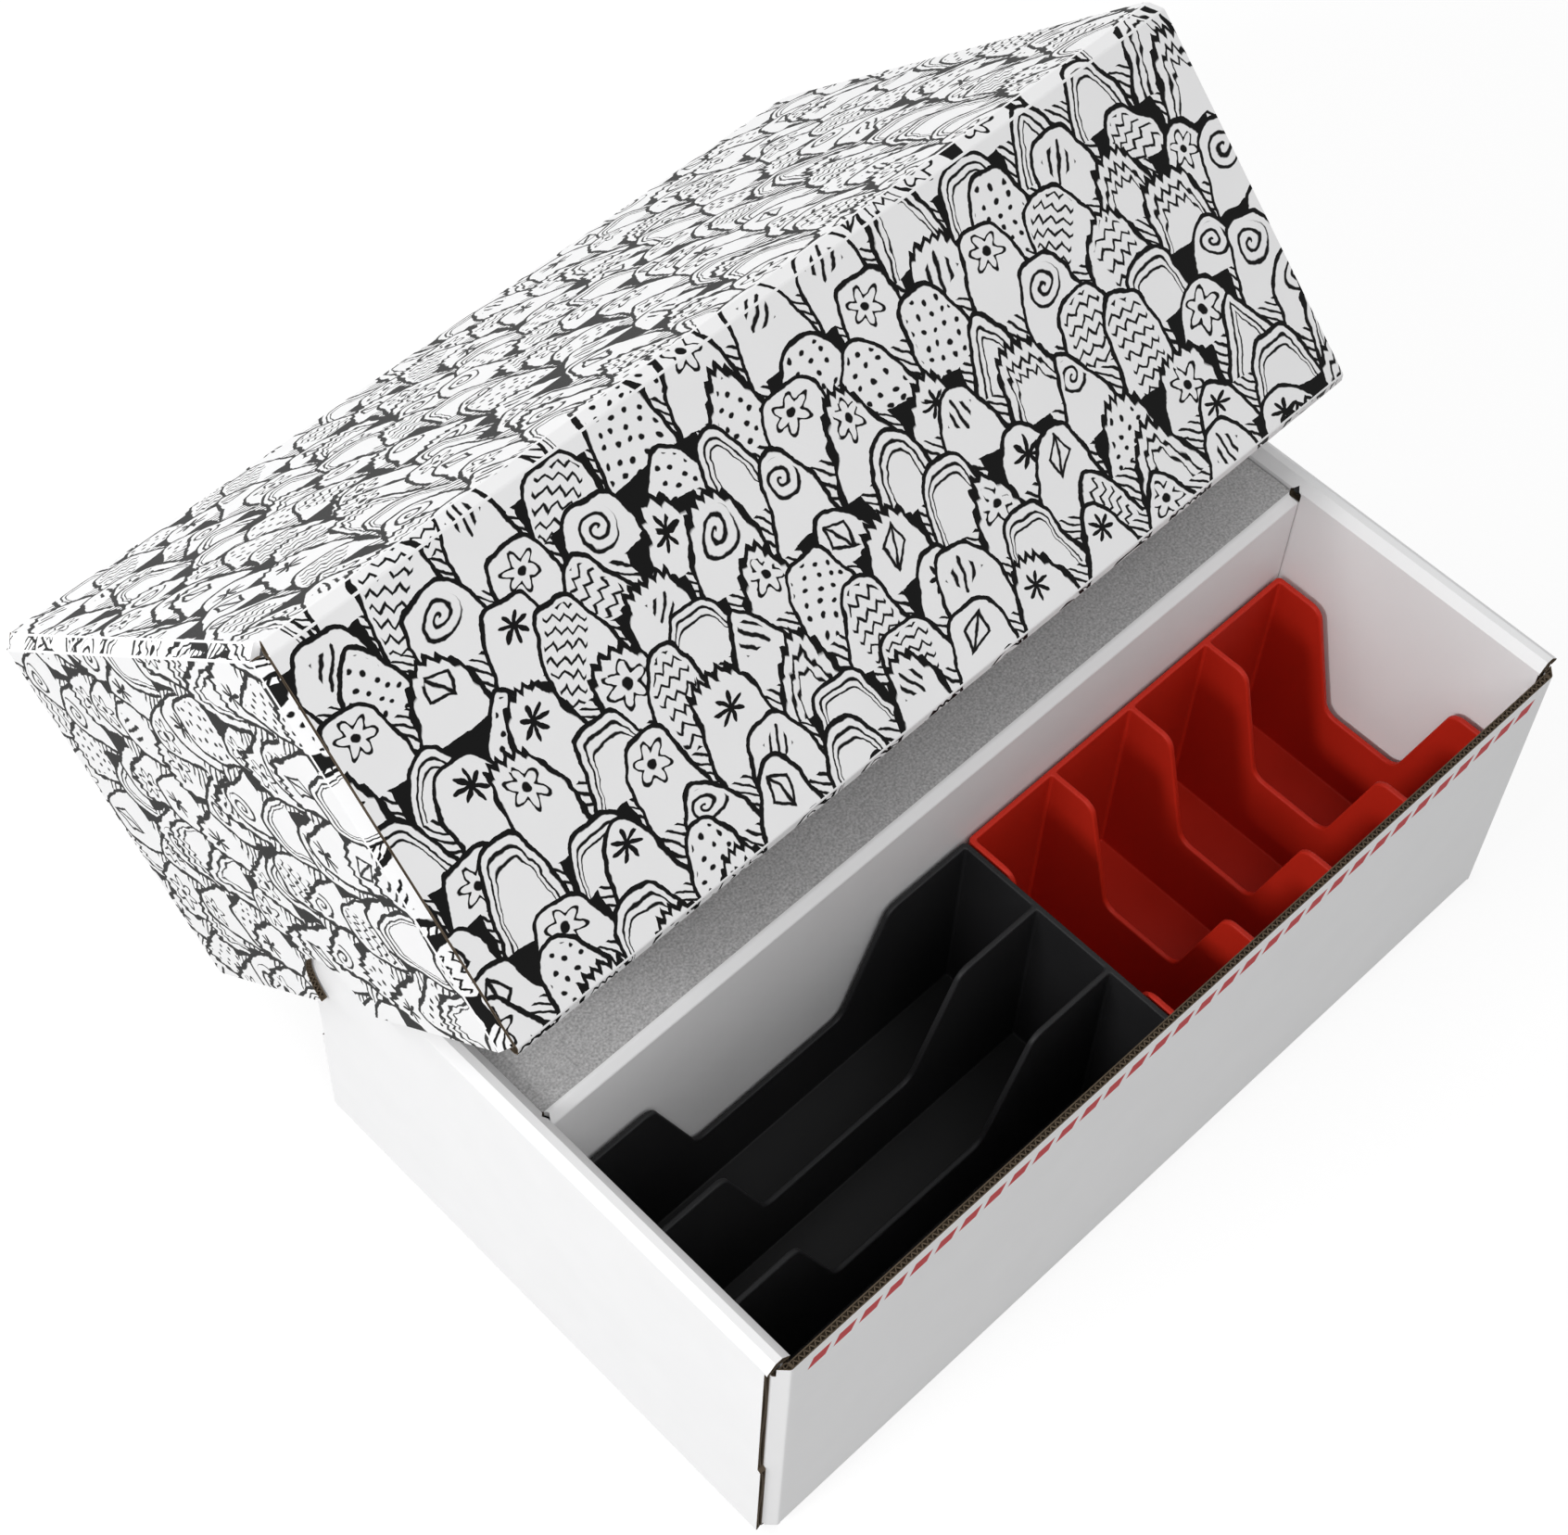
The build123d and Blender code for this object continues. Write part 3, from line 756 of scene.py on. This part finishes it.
def lay_out_print(bm):
    """Unfold the lid's outer faces into one flat sheet, in centimetres."""
    fold = bpy.context.scene.card_board.fold
    layer = bm.loops.layers.uv.new("print")
    slant = math.sqrt(2.0)

    def unrolled(reach, half, down):
        side = math.copysign(1.0, reach)
        if down < SKIN:
            return reach
        if down < fold:
            return side * (half - fold + slant * down)
        return side * (half - fold + slant * fold + down - fold + max(0.0, half - abs(reach)))

    for face in bm.faces:
        normal = LID_AXES @ face.normal
        for loop in face.loops:
            p = to_lid(loop.vert.co)
            if abs(normal.x) < END_FACING:
                u, v = p.x, unrolled(p.y, LID_HALF_WIDTH, p.z)
            else:
                end = math.copysign(LID_HALF_LENGTH, p.x)
                u = unrolled(end, LID_HALF_LENGTH, max(p.z, 2 * SKIN))
                tip = LID_HALF_LENGTH - abs(p.x) if p.z > fold + SKIN else 0.0
                v = math.copysign(abs(p.y) + FOLD_EXTRA * tip, p.y)
            loop[layer].uv = (u * CENTIMETRES, v * CENTIMETRES)


def dress_carton(body, printed_node, printed_material):
    """Turn a carton's CAD panels into coated board with open raw edges."""
    white, deck, kraft = plain_materials()
    names = board_nodes(body)
    trees = {name: node_tree_of(name) for name in names}
    for name in names:
        bm = merged_copy(name)
        sort_faces(bm, [tree for other, tree in trees.items() if other != name], printed_node(name))
        soften_creases(bm)
        open_edges(bm)
        if body == "lid":
            lay_out_print(bm)
        mesh = bpy.data.meshes.new(name + "_board")
        bm.to_mesh(mesh)
        bm.free()
        if not mesh.polygons:
            raise RuntimeError(f"{name} came out empty")
        # The deck gets the grey face that is painted shade of the lid.
        plain = deck if name == "base_deck" else white
        finished(name + "_board", mesh, body, name, (plain, kraft, printed_material))


def socket_id(group, name):
    """Identifier of a node group's named input."""
    for item in group.interface.items_tree:
        if item.item_type == "SOCKET" and item.in_out == "INPUT" and item.name == name:
            return item.identifier
    raise KeyError(name)


def flute_group():
    """Geometry Nodes that run waves of fluting paper along a path."""
    points_per_wave = 10.0
    group = bpy.data.node_groups.new("fluting_along_path", "GeometryNodeTree")
    face = group.interface
    face.new_socket("Geometry", in_out="INPUT", socket_type="NodeSocketGeometry")
    for name in ("Pitch", "Height", "Paper", "Depth"):
        face.new_socket(name, in_out="INPUT", socket_type="NodeSocketFloat")
    face.new_socket("Plane Normal", in_out="INPUT", socket_type="NodeSocketVector")
    face.new_socket("Wave Along Normal", in_out="INPUT", socket_type="NodeSocketBool")
    face.new_socket("Material", in_out="INPUT", socket_type="NodeSocketMaterial")
    face.new_socket("Geometry", in_out="OUTPUT", socket_type="NodeSocketGeometry")
    source = group.nodes.new("NodeGroupInput").outputs
    curve = add(group, "GeometryNodeMeshToCurve", source["Geometry"])
    spacing = calc(group, "DIVIDE", source["Pitch"], points_per_wave)
    sampled = add(group, "GeometryNodeResampleCurve", curve, None, None, spacing, mode="LENGTH")
    length = add(group, "GeometryNodeSplineParameter", out=1)
    tangent = add(group, "GeometryNodeInputTangent")
    phase = calc(group, "MULTIPLY", calc(group, "DIVIDE", length, source["Pitch"]), 2 * math.pi)
    lift = calc(group, "MULTIPLY", calc(group, "SINE", phase), source["Height"])
    sideways = add(group, "ShaderNodeVectorMath", tangent, source["Plane Normal"],
                   operation="CROSS_PRODUCT")

    def choose(first, second):
        chooser = source["Wave Along Normal"]
        return add(group, "GeometryNodeSwitch", chooser, first, second, input_type="VECTOR")

    wave = choose(sideways, source["Plane Normal"])
    inward = choose(source["Plane Normal"], sideways)
    stored = add(group, "GeometryNodeStoreNamedAttribute", sampled, None, "inward", inward,
                 data_type="FLOAT_VECTOR")
    offset = add(group, "ShaderNodeVectorMath", wave, None, None, lift, operation="SCALE")
    moved = add(group, "GeometryNodeSetPosition", stored, None, None, offset)
    kept = add(group, "GeometryNodeInputNamedAttribute", "inward", data_type="FLOAT_VECTOR")
    turned = add(group, "GeometryNodeSetCurveNormal", moved, None, kept, mode="FREE")
    profile = add(group, "GeometryNodeCurvePrimitiveQuadrilateral", source["Depth"], source["Paper"])
    ribbon = group.nodes.new("GeometryNodeCurveToMesh")
    group.links.new(turned, ribbon.inputs["Curve"])
    group.links.new(profile, ribbon.inputs["Profile Curve"])
    ribbon.inputs["Fill Caps"].default_value = True
    whole = add(group, "GeometryNodeRealizeInstances", ribbon.outputs[0])
    painted = add(group, "GeometryNodeSetMaterial", whole, None, source["Material"])
    result = group.nodes.new("NodeGroupOutput")
    group.links.new(painted, result.inputs[0])
    return group


def run_flutes(group, points, pitch, height, normal, along_normal, material):
    """Plain mesh of the fluting along one path."""
    settings = bpy.context.scene.card_board
    mesh = bpy.data.meshes.new("flute_path")
    mesh.from_pydata([tuple(p) for p in points], [(i, i + 1) for i in range(len(points) - 1)], [])
    path = bpy.data.objects.new("flute_path", mesh)
    bpy.context.scene.collection.objects.link(path)
    modifier = path.modifiers.new("fluting", "NODES")
    modifier.node_group = group
    inputs = {
        "Pitch": pitch, "Height": height, "Paper": settings.flute_paper, "Depth": settings.trench,
        "Plane Normal": tuple(normal), "Wave Along Normal": along_normal, "Material": material,
    }
    for name, value in inputs.items():
        modifier[socket_id(group, name)] = value
    bpy.context.view_layer.update()
    evaluated = path.evaluated_get(bpy.context.evaluated_depsgraph_get())
    plain = bpy.data.meshes.new_from_object(evaluated)
    path.modifiers.remove(modifier)
    bpy.data.objects.remove(path)
    bpy.data.meshes.remove(mesh)
    if not plain.polygons:
        raise RuntimeError("a flute path came out empty")
    return plain


def base_flute_paths():
    """Centre lines of the base's cut edges: the front wall's top, then the end walls' upright edges."""
    settings = bpy.context.scene.card_board
    half_board, fold = settings.thickness / 2, settings.fold
    sunk = settings.trench / 2 + FLUTE_SINK
    low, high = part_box("base_front_wall")
    flap_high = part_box("base_front_right_flap")[1]
    ease = half_board * math.tan(MITRE)
    y, z = low.y + half_board, high.z - sunk
    turn_x = flap_high.x - fold - ease
    end_x, end_y = turn_x + CORNER_STOP - half_board, low.y + CORNER_STOP
    bends = ((-end_x, end_y), (-turn_x, y), (turn_x, y), (end_x, end_y))
    across = [Vector((*bend, z)) for bend in bends]
    runs = [(across, settings.flute_pitch, Vector((0, 0, 1)), False)]
    wall_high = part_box("base_right_outer_wall")[1]
    step = wall_high.z * STEP_SHARE
    edge = wall_high.y - sunk
    inner = edge - END_GAP
    for x in (wall_high.x - half_board, -wall_high.x + half_board):
        for side in (-1, 1):
            foot = Vector((x, side * edge, fold + END_GAP))
            low_run = [foot, Vector((x, side * edge, step - END_GAP))]
            head = Vector((x, side * inner, wall_high.z - END_GAP))
            high_run = [Vector((x, side * inner, step + STEP_GAP)), head]
            runs.append((low_run, LOW_WAVE, Vector((0, 1, 0)), False))
            runs.append((high_run, HIGH_WAVE, Vector((0, 1, 0)), False))
    return runs


def lid_flute_paths():
    """Centre lines of the lid's cut edges: round the thumb notches, then along the long walls' ends."""
    settings = bpy.context.scene.card_board
    half_board, fold = settings.thickness / 2, settings.fold
    sunk = settings.trench / 2 + FLUTE_SINK
    corners = [to_lid(vertex.co) for vertex in frame["nodes"]["lid_left_end"].data.vertices]
    foot = max(c.z for c in corners)
    reach = max(c.y for c in corners)
    notch = [c for c in corners if abs(c.y) < reach - NOTCH_SIDE and c.z > NOTCH_TOP]
    round_in = max(abs(c.y) for c in notch) + sunk
    flat = foot - sunk
    runs = []
    for side in (-1, 1):
        x = side * (LID_HALF_LENGTH - half_board)
        points = [(x, -reach, flat), (x, -round_in, flat)]
        for i in range(1, NOTCH_STEPS):
            angle = math.pi * i / NOTCH_STEPS
            points.append((x, -round_in * math.cos(angle), foot - round_in * math.sin(angle)))
        points += [(x, round_in, flat), (x, reach, flat)]
        runs.append(([from_lid(*p) for p in points], settings.flute_pitch, Vector((1, 0, 0)), True))
    wall = [to_lid(vertex.co) for vertex in frame["nodes"]["lid_front_outer_wall"].data.vertices]
    edge, drop = max(c.x for c in wall) - sunk, max(c.z for c in wall)
    for side in (-1, 1):
        y = side * (LID_HALF_WIDTH - half_board)
        for end in (-1, 1):
            points = [from_lid(end * edge, y, fold + END_GAP), from_lid(end * edge, y, drop - FOOT_GAP)]
            runs.append((points, LID_WAVE, Vector((1, 0, 0)), False))
    return runs


class CARDBOX_OT_base_boards(bpy.types.Operator):
    """Dress the base's panels in coated board with raw cut edges"""

    bl_idname = "cardbox.base_boards"
    bl_label = "Base Boards"

    def execute(self, context):
        def printed_node(name):
            if name == "base_front_wall":
                return lambda point, normal: -normal.y > FRONT_FACING
            return lambda point, normal: False

        dress_carton("base", printed_node, front_rule_board())
        return {"FINISHED"}


class CARDBOX_OT_lid_boards(bpy.types.Operator):
    """Dress the lid's panels in board printed with line work outside"""

    bl_idname = "cardbox.lid_boards"
    bl_label = "Lid Boards"

    def execute(self, context):
        middle = LID_AXES.transposed() @ LID_MIDDLE

        def printed_node(name):
            if name.endswith("inner_wall"):
                return lambda point, normal: False
            return lambda point, normal: normal.dot(point - middle) > 0

        dress_carton("lid", printed_node, doodle_board())
        return {"FINISHED"}


class CARDBOX_OT_fluting(bpy.types.Operator):
    """Run the waves of fluting paper along the cut edges"""

    bl_idname = "cardbox.fluting"
    bl_label = "Fluting"

    def execute(self, context):
        settings = context.scene.card_board
        *_, kraft = plain_materials()
        group = flute_group()
        height = settings.thickness / 2 - settings.liner - settings.flute_paper / 2 - EDGE_SLOPE
        for body, runs, slot in (("base", base_flute_paths(), "white_board"),
                                 ("lid", lid_flute_paths(), "printed_board")):
            bm = bmesh.new()
            for points, pitch, normal, along_normal in runs:
                plain = run_flutes(group, points, pitch, height, normal, along_normal, kraft)
                bm.from_mesh(plain)
                bpy.data.meshes.remove(plain)
            bmesh.ops.recalc_face_normals(bm, faces=bm.faces)
            mesh = bpy.data.meshes.new(body + "_fluting")
            bm.to_mesh(mesh)
            bm.free()
            finished(body + "_fluting", mesh, body, None, (kraft,))
        return {"FINISHED"}


def is_curved(face):
    """Whether a face is a facet of a moulded corner: a small face that leans a little from a neighbour."""
    for edge in face.edges:
        if len(edge.link_faces) == 2 and LEAST_BEND < edge.calc_face_angle(0.0) < MOST_BEND:
            return face.calc_area() < FACET_AREA
    return False


class CARDBOX_OT_trays(bpy.types.Operator):
    """Round the edges of the moulded trays and give them their plastic"""

    bl_idname = "cardbox.trays"
    bl_label = "Trays"

    def execute(self, context):
        settings = context.scene.card_trays
        black_lift, red_lift = 0.004, 0.002
        tints = {
            "black_tray": (tuple(settings.black), black_lift),
            "red_tray": (tuple(settings.red), red_lift),
        }
        for name, slot in TRAYS.items():
            bm = merged_copy(name)
            sharp = [edge for edge in bm.edges
                     if len(edge.link_faces) == 2 and edge.calc_face_angle(0.0) > TRAY_EDGE]
            curved = [face for face in bm.faces if is_curved(face)]
            rounded = bmesh.ops.bevel(bm, geom=sharp, offset=settings.edge_radius,
                                      segments=settings.edge_steps, profile=0.5,
                                      affect="EDGES", clamp_overlap=True)
            bm.normal_update()
            for face in (*rounded["faces"], *(face for face in curved if face.is_valid)):
                face.smooth = True
            mesh = bpy.data.meshes.new(name + "_moulding")
            bm.to_mesh(mesh)
            bm.free()
            plastic = moulded_plastic(slot, *tints[name])
            finished(name + "_moulding", mesh, name, name, (plastic,))
        return {"FINISHED"}


def lamp(name, place, width, power):
    """Soft square lamp that looks at the box."""
    light = bpy.data.lights.new(name, "AREA")
    light.size = width
    light.energy = power
    thing = bpy.data.objects.new(name, light)
    thing.location = place
    thing.rotation_euler = (Vector(LAMP_AIM) - Vector(place)).to_track_quat("-Z", "Y").to_euler()
    bpy.context.scene.collection.objects.link(thing)


def seen_directly(tree):
    """One for camera, mirror and see-through rays, else zero."""
    path = tree.nodes.new("ShaderNodeLightPath")
    direct = calc(tree, "MAXIMUM", path.outputs["Is Camera Ray"], path.outputs["Is Glossy Ray"])
    return calc(tree, "MAXIMUM", direct, path.outputs["Is Transmission Ray"])


def lay_floor():
    """Pale floor that gives back a plain light, and looks white with a faint shadow."""
    mesh = bpy.data.meshes.new("floor")
    half = FLOOR_HALF
    corners = [(-half, -half, 0), (half, -half, 0), (half, half, 0), (-half, half, 0)]
    mesh.from_pydata(corners, [], [(0, 1, 2, 3)])
    floor = bpy.data.objects.new("floor", mesh)
    bpy.context.scene.collection.objects.link(floor)
    material, tree = make_tree("pale_floor")
    bounce = add(tree, "ShaderNodeBsdfDiffuse", (FLOOR_BOUNCE, FLOOR_BOUNCE, FLOOR_BOUNCE, 1.0))
    faint = add(tree, "ShaderNodeBsdfDiffuse", (FLOOR_SHADE, FLOOR_SHADE, FLOOR_SHADE, 1.0))
    away = add(tree, "ShaderNodeVectorMath", object_place(tree), operation="LENGTH", out=1)
    far = calc(tree, "SUBTRACT", 1.0, below(tree, away, GLOW_MIDDLE, GLOW_SPREAD))
    strength = calc(tree, "MULTIPLY_ADD", far, GLOW_RISE, FLOOR_GLOW)
    glow = add(tree, "ShaderNodeEmission", PURE_WHITE, strength)
    seen = add(tree, "ShaderNodeAddShader", faint, glow)
    shown = add(tree, "ShaderNodeMixShader", seen_directly(tree), bounce, seen)
    output = tree.nodes.new("ShaderNodeOutputMaterial")
    tree.links.new(shown, output.inputs["Surface"])
    mesh.materials.append(material)


def light_world(strength):
    """Even light all round, in front of a white backdrop."""
    world = bpy.data.worlds.new("studio")
    bpy.context.scene.world = world
    world.use_nodes = True
    tree = world.node_tree
    tree.nodes.clear()
    lit = add(tree, "ShaderNodeBackground", PURE_WHITE, strength)
    backdrop = add(tree, "ShaderNodeBackground", PURE_WHITE, 1.0)
    mixed = add(tree, "ShaderNodeMixShader", seen_directly(tree), lit, backdrop)
    output = tree.nodes.new("ShaderNodeOutputWorld")
    tree.links.new(mixed, output.inputs["Surface"])


def place_camera(focal):
    """Camera at the photograph's viewing angle."""
    lens = bpy.data.cameras.new("photo_view")
    lens.sensor_fit = "HORIZONTAL"
    lens.sensor_width = SENSOR_WIDTH
    lens.lens = focal
    lens.shift_x = (PHOTO_WIDTH / 2 - CENTRE_X) / PHOTO_WIDTH
    lens.shift_y = (CENTRE_Y - PHOTO_HEIGHT / 2) / PHOTO_WIDTH
    lens.clip_start = NEAR_CLIP
    view = bpy.data.objects.new("photo_view", lens)
    right = Vector(CAMERA_RIGHT).normalized()
    ahead = Vector(CAMERA_AHEAD).normalized()
    upward = right.cross(ahead).normalized()
    right = ahead.cross(upward)
    turn = Matrix((right, upward, -ahead)).transposed().to_4x4()
    view.matrix_world = Matrix.Translation(CAMERA_PLACE) @ turn
    bpy.context.scene.collection.objects.link(view)
    bpy.context.scene.camera = view


class CARDBOX_OT_stage(bpy.types.Operator):
    """Set the floor, the lights and the camera"""

    bl_idname = "cardbox.stage"
    bl_label = "Stage"

    def execute(self, context):
        studio = context.scene.card_studio
        lay_floor()
        light_world(studio.sky)
        lamp("key_left", KEY_PLACE, KEY_WIDTH, studio.key)
        lamp("behind", BACK_PLACE, FILL_WIDTH, studio.back)
        lamp("front_fill", FRONT_PLACE, FILL_WIDTH, studio.front)
        place_camera(studio.focal)
        context.scene.view_settings.view_transform = "Standard"
        return {"FINISHED"}


class CARDBOX_PT_panel(bpy.types.Panel):
    """The box's steps, in the order in which they run"""

    bl_label = "Card Box"
    bl_idname = "CARDBOX_PT_panel"
    bl_space_type = "VIEW_3D"
    bl_region_type = "UI"
    bl_category = "Card Box"

    def draw(self, context):
        layout = self.layout
        for step in STEPS:
            layout.operator(step.bl_idname)
        for name in GROUPS:
            box = layout.box()
            group = getattr(context.scene, name)
            box.label(text=name.replace("_", " ").title())
            for key in group.__class__.__annotations__:
                box.prop(group, key)


GROUPS = {
    "card_board": BoardSettings,
    "card_print": PrintSettings,
    "card_trays": TraySettings,
    "card_studio": StudioSettings,
}
STEPS = (
    CARDBOX_OT_base_boards,
    CARDBOX_OT_lid_boards,
    CARDBOX_OT_fluting,
    CARDBOX_OT_trays,
    CARDBOX_OT_stage,
)


def register():
    """Make the settings, steps and panel known to Blender."""
    for cls in (*GROUPS.values(), *STEPS, CARDBOX_PT_panel):
        bpy.utils.register_class(cls)
    for name, cls in GROUPS.items():
        setattr(bpy.types.Scene, name, PointerProperty(type=cls))


def unregister():
    """Take them out again."""
    for name in GROUPS:
        delattr(bpy.types.Scene, name)
    for cls in reversed((*GROUPS.values(), *STEPS, CARDBOX_PT_panel)):
        bpy.utils.unregister_class(cls)


def main():
    """Run every step."""
    register()
    bpy.ops.cardbox.base_boards()
    bpy.ops.cardbox.lid_boards()
    bpy.ops.cardbox.fluting()
    bpy.ops.cardbox.trays()
    bpy.ops.cardbox.stage()


if __name__ == "__main__":
    main()
